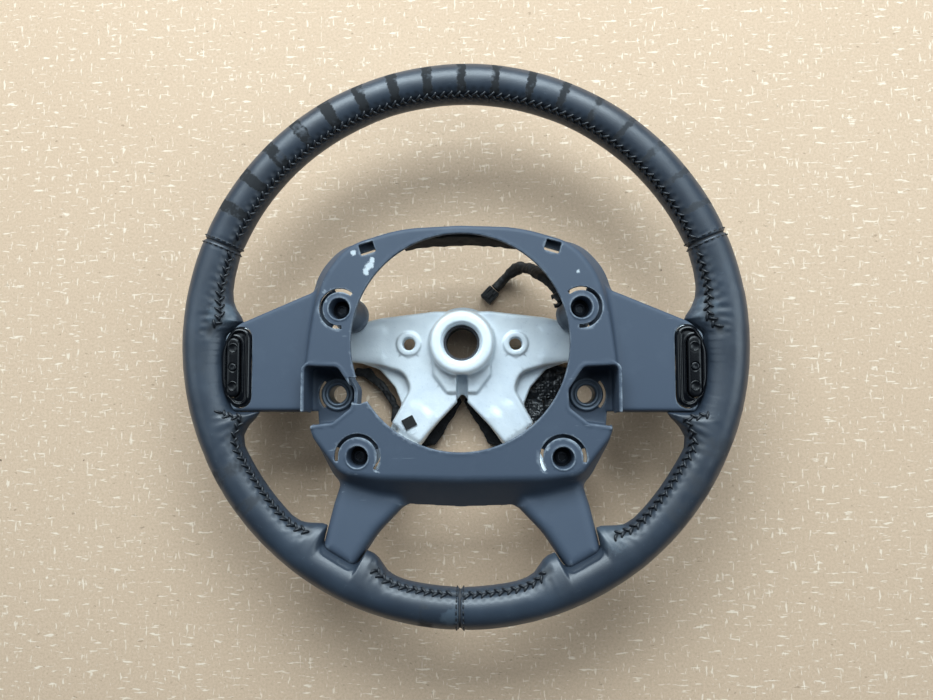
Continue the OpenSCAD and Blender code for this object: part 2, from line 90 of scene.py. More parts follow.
SHIELD = [(0, 10, 0), (22, 10, 4), (20.8, -23, 5), (11, -36, 3)]
CUPS = [  # x, y, radius of the arc slot, its start and its end in degrees
    (81, 20.4, 12.6, -97, 130.5),
    (68, -78.8, 14.2, -11, 215.5),
]
CUP_PLACES = [(side * x, y) for side in (-1, 1) for x, y, *_ in CUPS]
LOOM_ROUTE = [(74, 30, 40), (70.5, 33.5, 40), (66, 38.5, 39), (61, 44, 36), (55, 50, 30), (49, 55, 22),
              (42, 56.5, 14), (36, 53.5, 8.5), (30, 48, 5.5), (24.5, 42, 5)]
LEAD_R = 1.8
LEAD_ROUTE = [(155.5, -29.6, 37), (155.5, -29.6, 34), (151, -29, 29.5), (140, -27, 26), (128, -22, 22),
              (116, -19, 18), (104, -18, 14), (92, -18, 11), (82, -20, 9.8)]


# --- numbers and fields

CORNERS = list(product((0, 1), repeat=3))  # of a cell of a grid


def smooth_max(a, b, k):
    """The larger of two fields, with the edge between them rounded over a length k."""
    h = np.maximum(k - np.abs(a - b), 0) / k
    return np.maximum(a, b) + h * h * (k / 4)


def smooth_min(a, b, k):
    """The smaller of two fields, with the corner between them rounded over a length k."""
    return -smooth_max(-a, -b, k)


def ramp(x, a, b):
    """0 below a, 1 above b and an easy curve between."""
    t = np.clip((x - a) / (b - a), 0, 1)
    return t * t * (3 - 2 * t)


def rounded(points, steps=8):
    """The outline through points (x, y, radius) with each corner rounded by its radius."""
    out = []
    for i, (x, y, r) in enumerate(points):
        b = np.array((x, y), float)
        if r <= 0:
            out.append(b)
            continue
        u = np.array(points[i - 1][:2], float) - b
        v = np.array(points[(i + 1) % len(points)][:2], float) - b
        u, v = u / np.linalg.norm(u), v / np.linalg.norm(v)
        reach = r / math.tan(math.acos(np.clip(u @ v, -1, 1)) / 2)
        for t in np.linspace(0, 1, steps + 1):  # a quadratic through the corner is close to its arc
            out.append(b + u * reach * (1 - t) ** 2 + v * reach * t ** 2)
    return out


def graph(x, pairs):
    """The value at x on straight lines through (x, value) pairs, level beyond both ends."""
    return np.interp(x, *zip(*pairs))


def turned(x, y, degrees):
    """How far (x, y) lies along and across a direction given in degrees from +X."""
    a = math.radians(degrees)
    return x * math.cos(a) + y * math.sin(a), -x * math.sin(a) + y * math.cos(a)


def travelled(path):
    """How far along a path each of its points lies."""
    steps = np.linalg.norm(np.diff(path, axis=0), axis=1)
    return np.concatenate(([0], np.cumsum(steps)))


def both_sides(points):
    """The whole outline from the half of it on the driver's right."""
    return list(points) + [(-x, y, r) for x, y, r in reversed(points) if x > 0]


def outline(x, y, points):
    """Signed distance from (x, y) to the rounded outline through points, negative inside."""
    ring = rounded(points)
    nearest = np.full(np.broadcast(x, y).shape, 1e6, np.float32)
    inside = np.zeros(nearest.shape, bool)
    for a, b in zip(ring, ring[1:] + ring[:1]):
        ex, ey = (float(c) for c in b - a)
        length2 = ex * ex + ey * ey
        if length2 < 1e-9:
            continue
        px, py = x - float(a[0]), y - float(a[1])
        t = np.clip((px * ex + py * ey) / length2, 0, 1)
        nearest = np.minimum(nearest, (px - t * ex) ** 2 + (py - t * ey) ** 2)
        if ey != 0:
            inside ^= ((a[1] > y) != (b[1] > y)) & (x < float(a[0]) + ex * (y - float(a[1])) / ey)
    return np.where(inside, np.float32(-1), np.float32(1)) * np.sqrt(nearest)


def noise(x, y, z, size, seed):
    """Smooth noise between -1 and 1 with lumps about size across."""
    lattice = np.random.default_rng(seed).uniform(-1, 1, (32, 32, 32)).astype(np.float32)
    x, y, z = np.broadcast_arrays(x / size, y / size, z / size)
    cell = [np.floor(c).astype(np.int32) for c in (x, y, z)]
    f = [ramp(c - i, 0, 1) for c, i in zip((x, y, z), cell)]
    total = 0
    for dx, dy, dz in CORNERS:
        w = (f[0] if dx else 1 - f[0]) * (f[1] if dy else 1 - f[1]) * (f[2] if dz else 1 - f[2])
        total = total + w * lattice[(cell[0] + dx) % 32, (cell[1] + dy) % 32, (cell[2] + dz) % 32]
    return total


class Field:
    """Signed distances at the points of a box, low to high and step apart, negative inside the solid."""

    def __init__(self, low, high, step):
        step *= FINE
        self.low, self.step = np.array(low, float), step
        axes = [np.arange(a, b + step, step, dtype=np.float32) for a, b in zip(low, high)]
        self.x, self.y, self.z = axes[0][:, None, None], axes[1][None, :, None], axes[2][None, None, :]
        self.v = np.full([len(a) for a in axes], 9, np.float32)

    def part(self, x0, x1, y0, y1):
        """The stretch of the field between x0 and x1 and between y0 and y1, for a local change."""
        out = copy.copy(self)
        i, j = np.searchsorted(self.x[:, 0, 0], (x0, x1))
        k, m = np.searchsorted(self.y[0, :, 0], (y0, y1))
        out.x, out.y, out.v = self.x[i:j], self.y[:, k:m], self.v[i:j, k:m]
        return out

    def add(self, solid, k=1.0):
        self.v[...] = smooth_min(self.v, solid, k)

    def cut(self, solid, k=0.6):
        self.v[...] = smooth_max(self.v, -solid, k)

    def mirror(self):
        """Completes a field that starts at x = 0 with its mirror image."""
        self.low[0] = -self.step * (self.v.shape[0] - 1)
        self.v = np.concatenate((self.v[:0:-1], self.v))
        self.x = np.concatenate((-self.x[:0:-1], self.x))

    def mesh(self, name, adaptivity=0.03):
        """A closed, smooth-shaded mesh of the surface where the field is zero."""
        near = np.ascontiguousarray(np.clip(self.v / self.step, -3, 3), np.float32)
        grid = openvdb.FloatGrid(3.0)
        grid.copyFromArray(near, tolerance=0.001)
        points, triangles, quads = grid.convertToPolygons(isovalue=0.0, adaptivity=adaptivity)
        obj = mesh_object(name, (points * self.step + self.low), [*triangles.tolist(), *quads.tolist()])
        obj.data.normals_split_custom_set_from_vertices(steepest(near, points).tolist())
        return obj


def steepest(near, points):
    """The field's direction of steepest rise at each point."""
    top = np.array(near.shape) - 1.001

    def sample(p):
        p = np.clip(p, 0, top)
        i = np.floor(p).astype(int)
        f = p - i
        value = 0
        for dx, dy, dz in CORNERS:
            w = abs(1 - dx - f[:, 0]) * abs(1 - dy - f[:, 1]) * abs(1 - dz - f[:, 2])
            value = value + w * near[i[:, 0] + dx, i[:, 1] + dy, i[:, 2] + dz]
        return value

    out = np.stack([sample(points + s) - sample(points - s) for s in np.eye(3) * 0.6], axis=1)
    return out / np.maximum(np.linalg.norm(out, axis=1, keepdims=True), 1e-9)


# --- meshes

def mesh_object(name, verts_mm, faces):
    mesh = bpy.data.meshes.new(name)
    mesh.from_pydata((np.asarray(verts_mm) * MM).tolist(), [], faces)
    mesh.update()
    mesh.polygons.foreach_set("use_smooth", [True] * len(mesh.polygons))
    obj = bpy.data.objects.new(name, mesh)
    scene.collection.objects.link(obj)
    return obj


def merged(name, parts):
    """One piece from several (vertices, faces)."""
    verts, faces = [], []
    for more, polygons in parts:
        faces += [[i + len(verts) for i in p] for p in polygons]
        verts += list(more)
    return mesh_object(name, verts, faces)


def mirrored(obj, name):
    """A copy of obj reflected in the plane x = 0."""
    mesh = obj.data
    verts = np.empty(len(mesh.vertices) * 3, np.float32)
    mesh.vertices.foreach_get("co", verts)
    verts = verts.reshape(-1, 3) * (-1, 1, 1) / MM
    out = mesh_object(name, verts, [list(p.vertices)[::-1] for p in mesh.polygons])
    if mesh.has_custom_normals:
        normals = np.zeros((len(mesh.vertices), 3), np.float32)
        for loop, corner in zip(mesh.loops, mesh.corner_normals):
            normals[loop.vertex_index] = corner.vector
        out.data.normals_split_custom_set_from_vertices((normals * (-1, 1, 1)).tolist())
    return out


def place(obj, slot, *stands_for, body="wheel"):
    """Gives a piece its slot and the finish of that slot, the CAD nodes it stands for and its body."""
    obj.data.materials.clear()
    obj.data.materials.append(FINISHES[slot])
    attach(obj, body)
    if stands_for:
        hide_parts(*stands_for)
    return obj


def sweep(paths, sides=8):
    """Round tubes as one vertex and face list. Each path is a list of (centre, radius)."""
    verts, faces = [], []
    for path in paths:
        centres = np.array([p for p, _ in path], float)
        tangents = np.gradient(centres, axis=0)
        tangents /= np.linalg.norm(tangents, axis=1, keepdims=True)
        side = np.cross(tangents[0], (0.31, 0.23, 0.92))
        start = len(verts)
        for (_, r), c, t in zip(path, centres, tangents):
            side = side - t * (side @ t)
            side /= np.linalg.norm(side)
            other = np.cross(t, side)
            for a in np.linspace(0, 2 * math.pi, sides, endpoint=False):
                verts.append(c + r * (math.cos(a) * side + math.sin(a) * other))
        for i in range(len(path) - 1):
            for k in range(sides):
                a, b = start + i * sides + k, start + i * sides + (k + 1) % sides
                faces.append((a, b, b + sides, a + sides))
        faces.append(tuple(range(start + sides - 1, start - 1, -1)))
        faces.append(tuple(range(len(verts) - sides, len(verts))))
    return verts, faces


def spline(points, per_span=8):
    """A smooth curve through the points."""
    p = np.array([points[0], *points, points[-1]], float)
    out = []
    for a, b, c, d in zip(p, p[1:], p[2:], p[3:]):
        for t in np.linspace(0, 1, per_span, endpoint=False):
            out.append(0.5 * (2 * b + (c - a) * t + (2 * a - 5 * b + 4 * c - d) * t ** 2
                              + (3 * b - a - 3 * c + d) * t ** 3))
    return np.array(out + [p[-1]])


def lathe(profile, centre, sides=64):
    """A closed ring turned from a closed profile of (radius, z) about the axis through centre."""
    verts, faces = [], []
    n = len(profile)
    for a in np.linspace(0, 2 * math.pi, sides, endpoint=False):
        verts += [(centre[0] + r * math.cos(a), centre[1] + r * math.sin(a), z) for r, z in profile]
    for i in range(sides):
        for k in range(n):
            a, b = i * n + k, i * n + (k + 1) % n
            c, d = ((i + 1) % sides) * n + (k + 1) % n, ((i + 1) % sides) * n + k
            faces.append((a, d, c, b))
    return verts, faces


# --- materials

FINISHES = {}  # each material under its name, which is the record's slot that it is for


class Shader:
    """A Principled material with small helpers for its nodes. Coordinates are the object's, in metres."""

    def __init__(self, name, color, rough, metallic=0.0, **sockets):
        self.mat = bpy.data.materials.new(name)
        self.mat.use_nodes = True
        FINISHES[name] = self.mat
        self.tree = self.mat.node_tree
        self.bsdf = self.tree.nodes["Principled BSDF"]
        self.color, self.rough = (*color, 1), rough
        self.bsdf.inputs["Base Color"].default_value = self.color
        self.bsdf.inputs["Roughness"].default_value = rough
        self.bsdf.inputs["Metallic"].default_value = metallic
        for key, value in sockets.items():
            self.bsdf.inputs[key.replace("_", " ")].default_value = value
        self.where = self.tree.nodes.new("ShaderNodeTexCoord").outputs["Object"]
        self.tone = None

    def link(self, a, b):
        self.tree.links.new(a, b)

    def node(self, kind, **values):
        node = self.tree.nodes.new(kind)
        for key, value in values.items():
            setattr(node, key, value)
        return node

    def math(self, op, a, b=0.0, clamp=False):
        node = self.node("ShaderNodeMath", operation=op, use_clamp=clamp)
        for socket, value in zip(node.inputs, (a, b)):
            if isinstance(value, (int, float)):
                socket.default_value = value
            else:
                self.link(value, socket)
        return node.outputs[0]

    def add(self, a, b):
        return self.math("ADD", a, b)

    def sub(self, a, b):
        return self.math("SUBTRACT", a, b)

    def mul(self, a, b):
        return self.math("MULTIPLY", a, b)

    def noise(self, scale, detail=4.0, rough=0.6, stretch=None):
        node = self.node("ShaderNodeTexNoise")
        node.inputs["Scale"].default_value = scale
        node.inputs["Detail"].default_value = detail
        node.inputs["Roughness"].default_value = rough
        where = self.where
        if stretch:
            mapping = self.node("ShaderNodeMapping")
            mapping.inputs["Scale"].default_value = stretch
            self.link(where, mapping.inputs["Vector"])
            where = mapping.outputs[0]
        self.link(where, node.inputs["Vector"])
        return node.outputs["Fac"]

    def cells(self, scale, feature="DISTANCE_TO_EDGE"):
        node = self.node("ShaderNodeTexVoronoi", feature=feature)
        node.inputs["Scale"].default_value = scale
        self.link(self.where, node.inputs["Vector"])
        return node.outputs["Distance"]

    def fit(self, value, a, b, lo=0.0, hi=1.0):
        """Maps value from a..b to lo..hi, held at both ends."""
        node = self.node("ShaderNodeMapRange")
        self.link(value, node.inputs["Value"])
        for key, number in (("From Min", a), ("From Max", b), ("To Min", lo), ("To Max", hi)):
            node.inputs[key].default_value = number
        return node.outputs["Result"]

    def attribute(self, name):
        return self.node("ShaderNodeAttribute", attribute_name=name).outputs["Fac"]

    def edges(self, a, b):
        """1 on convex edges, 0 elsewhere."""
        return self.fit(self.node("ShaderNodeNewGeometry").outputs["Pointiness"], a, b)

    def tint(self, amount, color):
        """Mixes color into the base colour where amount is high."""
        mix = self.node("ShaderNodeMix", data_type="RGBA")
        self.link(amount, mix.inputs["Factor"])
        if self.tone is None:
            mix.inputs["A"].default_value = self.color
        else:
            self.link(self.tone, mix.inputs["A"])
        mix.inputs["B"].default_value = (*color, 1)
        self.tone = mix.outputs["Result"]
        self.link(self.tone, self.bsdf.inputs["Base Color"])

    def roughness(self, *parts):
        """Base roughness plus the sum of value * weight parts."""
        total = self.rough
        for value, weight in parts:
            total = self.math("ADD", self.math("MULTIPLY", value, weight), total, clamp=True)
        self.link(total, self.bsdf.inputs["Roughness"])

    def bump(self, *layers):
        """Layers of (height, strength, depth in metres)."""
        normal = None
        for height, strength, depth in layers:
            node = self.node("ShaderNodeBump")
            node.inputs["Strength"].default_value = strength
            node.inputs["Distance"].default_value = depth
            self.link(height, node.inputs["Height"])
            if normal is not None:
                self.link(normal, node.inputs["Normal"])
            normal = node.outputs["Normal"]
        self.link(normal, self.bsdf.inputs["Normal"])


def spot(s, x, y, reach, ragged=0.6, scale=260.0):
    """A ragged patch of about reach metres round (x, y), as a 0..1 value."""
    sep = s.node("ShaderNodeSeparateXYZ")
    s.link(s.where, sep.inputs[0])
    dx = s.sub(sep.outputs["X"], x)
    dy = s.sub(sep.outputs["Y"], y)
    far = s.math("SQRT", s.add(s.mul(dx, dx), s.mul(dy, dy)))
    edge = s.mul(s.sub(s.noise(scale, 5, 0.7), 0.5), 4 * reach * ragged)
    return s.fit(s.add(far, edge), reach * 0.6, reach, 1, 0)


SCUFFS = [(-0.0605, 0.0495, 0.0034), (-0.0630, 0.0455, 0.0028), (-0.0590, 0.0530, 0.0022),
          (-0.072, 0.0585, 0.0022), (0.079, 0.044, 0.0018)]  # on the bezel: x, y, reach in metres
BAND_START, BAND_STEP = 29, 7.56  # the dark bands on the top panel, in degrees round the rim
SMUDGES = [(210, 1.6, 0.6), (218, 1.2, 0.5), (263, 1.3, 0.6), (337, 2.4, 0.35), (328, 1.8, 0.3),
           (321, 2.2, 0.3)]  # faint bands elsewhere: degrees round the rim, half width, strength
PALE_HIGHLIGHT_AND_WEAR = [(-0.163, 0.018, 0.010, 0.5), (0.163, 0.020, 0.009, 0.4), (-0.006, -0.182, 0.007, 0.35),
        (0.100, -0.128, 0.012, 0.3)]  # paler leather, painted highlight and wear: x, y, reach in metres, strength


def trim_material():
    """Fine-textured blue-grey plastic, paler along its edges as painted highlight and wear, with a few
    scratches and scuffs.
    """
    s = Shader("trim_plastic", (0.052, 0.072, 0.106), 0.46, Specular_IOR_Level=0.45)
    s.tint(s.fit(s.noise(9, 4, 0.6), 0.35, 0.7, 0, 0.5), (0.044, 0.062, 0.095))
    s.tint(s.fit(s.noise(60, 6, 0.7), 0.56, 0.75, 0, 0.30), (0.074, 0.098, 0.136))
    # painted highlight and wear: convex edges tinted pale in ragged patches
    edge_highlight_and_wear = s.mul(s.edges(0.515, 0.565), s.fit(s.noise(140, 5, 0.7), 0.38, 0.60))
    s.tint(s.mul(edge_highlight_and_wear, 0.65), (0.46, 0.52, 0.58))
    scratch = s.fit(s.noise(420, 2, 0.5, (0.16, 1, 1)), 0.70, 0.735, 0, 0.30)
    s.tint(s.mul(scratch, s.fit(s.noise(22, 3), 0.52, 0.62)), (0.40, 0.46, 0.52))
    for x, y, reach in SCUFFS:
        s.tint(s.mul(spot(s, x, y, reach), 0.8), (0.62, 0.68, 0.72))
    s.roughness((s.noise(35, 4), 0.16), (s.noise(900, 2), 0.10))
    s.bump((s.noise(2600, 2, 0.5), 0.32, 0.00012), (s.cells(1500, "F1"), 0.16, 0.0001),
           (s.noise(90, 3), 0.10, 0.0004))


def casting_material():
    """As-cast light alloy with a rough skin, grey drift and small stains."""
    s = Shader("cast_alloy", (0.86, 0.92, 0.96), 0.42, 0.6)
    s.tint(s.fit(s.noise(26, 5, 0.6), 0.42, 0.70, 0, 0.55), (0.62, 0.70, 0.79))
    s.tint(s.fit(s.noise(420, 5, 0.75), 0.60, 0.78, 0, 0.5), (0.36, 0.42, 0.50))
    s.tint(s.fit(s.noise(150, 6, 0.8), 0.66, 0.74, 0, 0.4), (0.20, 0.22, 0.26))
    s.roughness((s.noise(80, 4), 0.22), (s.noise(1200, 2), 0.12))
    s.bump((s.noise(1100, 4, 0.6), 0.30, 0.00022), (s.noise(130, 4), 0.22, 0.0006))


def leather_material():
    """Grained leather; the panels' attributes place its dark bands and the painted shade in its stitch
    grooves.
    """
    s = Shader("leather", (0.020, 0.028, 0.042), 0.26, Specular_IOR_Level=0.7)
    s.tint(s.fit(s.noise(14, 4, 0.6), 0.38, 0.68, 0, 0.75), (0.038, 0.054, 0.078))
    s.tint(s.fit(s.noise(48, 6, 0.7), 0.54, 0.70, 0, 0.5), (0.026, 0.034, 0.046))
    s.tint(s.fit(s.noise(230, 6, 0.8), 0.60, 0.76, 0, 0.5), (0.10, 0.125, 0.15))
    around, over = s.attribute("around"), s.attribute("over")
    wobble = s.mul(s.sub(s.noise(210, 6, 0.75), 0.5), 2.4)
    drift = s.mul(s.sub(s.noise(28, 3), 0.5), 1.6)
    at = s.add(s.add(around, wobble), drift)
    turns = s.math("DIVIDE", s.sub(at, BAND_START - BAND_STEP / 2), BAND_STEP)
    off = s.math("ABSOLUTE", s.sub(s.math("FRACT", turns), 0.5))
    wide = s.fit(around, 50, 120, 0.07, 0.15)
    stripe = s.math("SUBTRACT", 1, s.math("DIVIDE", s.sub(off, wide), 0.035), clamp=True)
    within = s.mul(s.fit(around, 25.5, 26.5), s.fit(around, 152.5, 153.5, 1, 0))
    onface = s.mul(s.fit(over, 22, 36), s.fit(over, 134, 139, 1, 0))
    strength = s.fit(around, 40, 75, 0.6, 0.96)
    band = s.mul(s.mul(stripe, within), s.mul(onface, strength))
    band = s.mul(band, s.fit(s.noise(90, 4), 0.32, 0.46))
    for middle, half, power in SMUDGES:
        away = s.math("ABSOLUTE", s.sub(at, middle))
        patchy = s.mul(onface, s.fit(s.noise(70, 4), 0.42, 0.55))
        one = s.mul(s.fit(away, half * 0.7, half * 1.3, power, 0), patchy)
        band = s.math("MAXIMUM", band, one)
    s.tint(band, (0.005, 0.006, 0.008))
    # painted highlights on the grip, with worn leather: paler patches
    for x, y, reach, power in PALE_HIGHLIGHT_AND_WEAR:
        s.tint(s.mul(spot(s, x, y, reach, 0.5, 160), power), (0.115, 0.155, 0.195))
    # painted shade: the leather darkened in its stitch valleys, gathers and tucked seam ends
    groove_shade = s.attribute("groove_shade")
    s.tint(s.math("MULTIPLY", groove_shade, 0.9, clamp=True), (0.008, 0.010, 0.013))
    s.roughness((s.noise(60, 5, 0.7), 0.20), (band, 0.55), (groove_shade, 0.30), (s.noise(700, 3), 0.08))
    s.bump((s.cells(760), 0.20, 0.0002), (s.noise(1500, 3), 0.12, 0.00012),
           (s.noise(150, 4, 0.6), 0.12, 0.0005))


def simple(name, color, rough, metallic=0.0, grain=900.0, depth=0.00012, spread=0.25, **sockets):
    """A plain finish with some drift in tone and roughness and a fine grain."""
    s = Shader(name, color, rough, metallic, **sockets)
    darker = tuple(c * 0.6 for c in color)
    lighter = tuple(min(1, c * 1.8 + 0.002) for c in color)
    s.tint(s.fit(s.noise(40, 5, 0.65), 0.4, 0.7, 0, spread * 2), darker)
    s.tint(s.fit(s.noise(grain * 0.5, 4, 0.7), 0.60, 0.80, 0, spread), lighter)
    s.roughness((s.noise(120, 4), 0.16))
    s.bump((s.noise(grain, 3, 0.6), 0.3, depth), (s.noise(grain * 0.12, 3), 0.15, depth * 4))


def floor_material():
    """Pressed board, with pale fibres lying both ways and a few dark specks."""
    s = Shader("floor_board", (0.66, 0.485, 0.345), 0.8, Specular_IOR_Level=0.15)
    s.tint(s.fit(s.noise(2.5, 3), 0.35, 0.7, 0, 0.5), (0.60, 0.43, 0.30))
    s.tint(s.fit(s.noise(520, 6, 0.8), 0.42, 0.70, 0, 0.6), (0.44, 0.31, 0.21))
    s.tint(s.fit(s.noise(260, 6, 0.8), 0.60, 0.70, 0, 0.4), (0.34, 0.24, 0.16))
    s.tint(s.fit(s.noise(420, 2, 0.6, (0.20, 1, 1)), 0.62, 0.68, 0, 0.7), (0.92, 0.79, 0.64))
    s.tint(s.fit(s.noise(380, 2, 0.6, (1, 0.24, 1)), 0.63, 0.69, 0, 0.6), (0.92, 0.79, 0.64))
    s.tint(s.fit(s.noise(330, 3, 0.6, (0.5, 1, 1)), 0.66, 0.72, 0, 0.6), (0.30, 0.20, 0.13))
    s.tint(s.fit(s.noise(110, 2, 0.5), 0.775, 0.79, 0, 0.8), (0.10, 0.06, 0.04))
    s.roughness((s.noise(200, 3), 0.1))
    s.bump((s.noise(700, 5, 0.7), 0.35, 0.0004))


trim_material()
casting_material()
leather_material()
simple("pod_gloss", (0.002, 0.0025, 0.004), 0.13, grain=300, depth=0.00003, spread=0.1,
       Specular_IOR_Level=0.4)
simple("rocker_black", (0.003, 0.0035, 0.005), 0.20, grain=1500, depth=0.00004, Specular_IOR_Level=0.35)
simple("button_black", (0.005, 0.006, 0.008), 0.18, grain=1500, depth=0.00004, Specular_IOR_Level=0.4)
simple("thread", (0.011, 0.014, 0.020), 0.36, grain=2600, depth=0.0003, spread=0.4)
simple("loom_tape", (0.006, 0.006, 0.007), 0.55, grain=2200, depth=0.0003, spread=0.5)
simple("black_plastic", (0.008, 0.008, 0.009), 0.38, grain=1400)
simple("black_film", (0.007, 0.008, 0.010), 0.30, grain=90, depth=0.0003, Coat_Weight=0.2)
simple("strip_foam", (0.007, 0.007, 0.008), 0.9, grain=1500, depth=0.0006, spread=0.6)
simple("bush_steel", (0.10, 0.10, 0.11), 0.36, 0.9, grain=1200)
simple("bushing_steel", (0.13, 0.16, 0.20), 0.40, 0.6, grain=1200)
simple("screw_steel", (0.05, 0.055, 0.065), 0.30, 0.9)
simple("core_steel", (0.35, 0.35, 0.36), 0.4, 1.0)
simple("grip_foam", (0.05, 0.05, 0.055), 0.9)
simple("dome_rubber", (0.35, 0.36, 0.37), 0.6)
simple("board_green", (0.03, 0.14, 0.06), 0.4)
simple("plug_white", (0.72, 0.70, 0.64), 0.45)
for part in frame["record"]["subparts"]:
    materials = nodes[part["node"]].data.materials
    materials.clear()
    materials.append(FINISHES[part["material_slot"]])
nodes["earth_tab"].data.materials[0] = FINISHES["cast_alloy"]

# --- camera

VIEW_W = 933  # the picture's width, which the focal length and the shift are given against
SENSOR = 36
CAMERA_AT = Vector((20.0, -40.0, 567.4))
CAMERA_RIGHT, CAMERA_UP = Vector((0.9982, 0.0, -0.0604)), Vector((0.0042, 0.9976, 0.0690))

camera_data = bpy.data.cameras.new("camera")
camera_data.sensor_width = SENSOR
camera_data.lens = 750 / VIEW_W * SENSOR
camera_data.shift_x, camera_data.shift_y = 22.4 / VIEW_W, -3.4 / VIEW_W
camera = bpy.data.objects.new("camera", camera_data)
scene.collection.objects.link(camera)
turn = Matrix((CAMERA_RIGHT, CAMERA_UP, CAMERA_RIGHT.cross(CAMERA_UP))).transposed()
camera.matrix_world = Matrix.Translation(CAMERA_AT * MM) @ turn.to_4x4()
scene.camera = camera


# --- loom, with its connector and clip

LOOM_R = 3.5  # of the bundle, with the tape on top
LOOM_SIDES = 32
TAPE_LEAD = 6.5  # the tape's advance for each turn


def build_loom():
    """The taped bundle as a mesh, and the path through its middle."""
    path = spline(LOOM_ROUTE)
    at = travelled(path)
    fine = np.arange(0, at[-1], 0.5)
    centres = np.stack([np.interp(fine, at, path[:, k]) for k in range(3)], axis=1)
    verts, faces = sweep([[(c, 4.0) for c in centres]], sides=LOOM_SIDES)
    verts = np.array(verts)
    ring = np.arange(len(verts)) // LOOM_SIDES
    turn_of = (np.arange(len(verts)) % LOOM_SIDES) / LOOM_SIDES
    out = verts - centres[ring]
    out /= np.linalg.norm(out, axis=1, keepdims=True)
    wrap = np.mod(fine[ring] / TAPE_LEAD + turn_of, 1)
    lift = 0.35 * ramp(wrap, 0, 0.12) * (1 - wrap * 0.5)
    lift = lift + 1.0 * noise(*verts.T, 6.0, 3) + 0.45 * noise(*verts.T, 1.9, 4)
    flat = 1 - 0.10 * np.cos(4 * math.pi * turn_of + fine[ring] / 9)
    verts = centres[ring] + out * (LOOM_R * flat + lift * 0.9)[:, None]
    return mesh_object("loom", verts, faces), path


def build_connector():
    """A socket with three ribs and a latch at the loom's end."""
    f = Field((8, 26, -0.5), (34, 52, 11), 0.3)
    end_x, end_y, end_z = LOOM_ROUTE[-1]
    along, across = turned(f.x - end_x, f.y - end_y, 227)
    z = f.z - end_z
    shell = smooth_max(np.abs(along - 5.8) - 5.2, np.abs(across) - 4.9, 0.8)
    f.add(smooth_max(shell, np.abs(z) - 4.4, 0.8))
    f.cut(smooth_max(np.maximum(np.abs(across) - 3.6, np.abs(z) - 3), 5 - along, 0.3), 0.3)
    for k in (-1, 0, 1):
        rib = np.maximum(np.abs(across - k * 2.6) - 0.35, np.abs(z) - 4.85)
        f.add(np.maximum(rib, np.abs(along - 3.2) - 2.6), 0.3)
    latch = np.maximum(np.abs(across) - 1.6, np.abs(f.z - 9.7) - 0.7)
    f.add(np.maximum(latch, np.abs(along - 6.5) - 2.5), 0.5)
    return f.mesh("loom_connector")


def build_clip():
    """A collar round the bezel's post, with an arm to the hoop that holds the loom and a hook."""
    f = Field((60, 10, 28), (92, 46, 48), 0.35)
    post = np.hypot(f.x - CUPS[0][0], f.y - CUPS[0][1])
    f.add(smooth_max(post - 8, np.abs(f.z - 37.5) - 4.5, 1.2))
    ax, ay = f.x - 75.5, f.y - 27.3
    arm_section = np.maximum(np.abs(ax * 0.781 - ay * -0.625) - 3, np.abs(f.z - 34.8) - 1.4)
    f.add(np.maximum(np.abs(ax * -0.625 + ay * 0.781) - 7.5, arm_section), 1)
    along, across = turned(f.x - 70.5, f.y - 33.5, 131)
    hoop = np.hypot(across, f.z - 40) - 5.0
    f.add(np.hypot(hoop, np.maximum(np.abs(along) - 2.2, 0)) - 0.9, 1)
    hx, hy = f.x - 66.5, f.y - 28.6
    hook = np.hypot(np.hypot(hx, hy) - 3.6, f.z - 39) - 1.5
    f.add(np.maximum(hook, -hx - 2.0 - hy * 0.3), 1)
    f.cut(post - 5.6, 0.3)
    return f.mesh("loom_clip")


loom, loom_path = build_loom()
place(loom, "loom_tape", "harness_loom")
connector = place(build_connector(), "black_plastic", "harness_connector")
place(build_clip(), "black_plastic", "harness_clip")


# --- trim bezel

def cups_and_holes(f):
    """The four screw cups, each with its bead, its hole and the floored arc slot round it."""
    for cx, cy, slot_r, start, end in CUPS:
        g = f.part(cx - 20, cx + 20, cy - 20, cy + 20)
        r = np.hypot(g.x - cx, g.y - cy)
        g.add(np.maximum(r - CUP_R - 1.8, np.maximum(g.z - FACE_Z + 1, CUP_FLOOR - g.z)), 1.2)
        g.add(np.hypot(r - CUP_R - 0.7, g.z - FACE_Z + 0.15) - 0.7, 0.8)
        g.cut(smooth_max(r - CUP_R - 0.04 * (g.z - FACE_Z), CUP_FLOOR + 2 - g.z, 1), 0.8)
        g.cut(r - 2.9)
        angle = np.degrees(np.arctan2(g.y - cy, g.x - cx))
        off = np.abs((angle - (start + end) / 2 + 180) % 360 - 180)
        arc = np.maximum(np.abs(r - slot_r) - 1.1, (off - (end - start) / 2) * math.radians(slot_r))
        slot_floor = np.maximum(arc - 1.2, np.abs(angle - (start + end) / 2 + 12) / 4 - 17)
        g.add(np.maximum(slot_floor, np.abs(g.z - 62.5) - 1), 0.4)
        g.cut(np.maximum(arc, 63.3 - g.z), 0.4)


def windows(f):
    """The square window near each upper corner, with a floor under its upper half."""
    g = f.part(54, 71, 53, 70)
    wx, wy = g.x - 62.5, g.y - 61.5
    tilt = math.radians(17)
    level = wx * math.sin(tilt) + wy * math.cos(tilt)
    window = smooth_max(np.abs(wx * math.cos(tilt) - wy * math.sin(tilt)) - 5.0, np.abs(level) - 3.7, 0.8)
    g.add(np.maximum(np.maximum(window - 1.5, np.abs(g.z - 62) - 1.2), -0.8 - level), 0.5)
    g.cut(np.maximum(window, 63.4 - g.z), 0.8)
    g.cut(np.maximum(window, level + 0.8), 0.4)


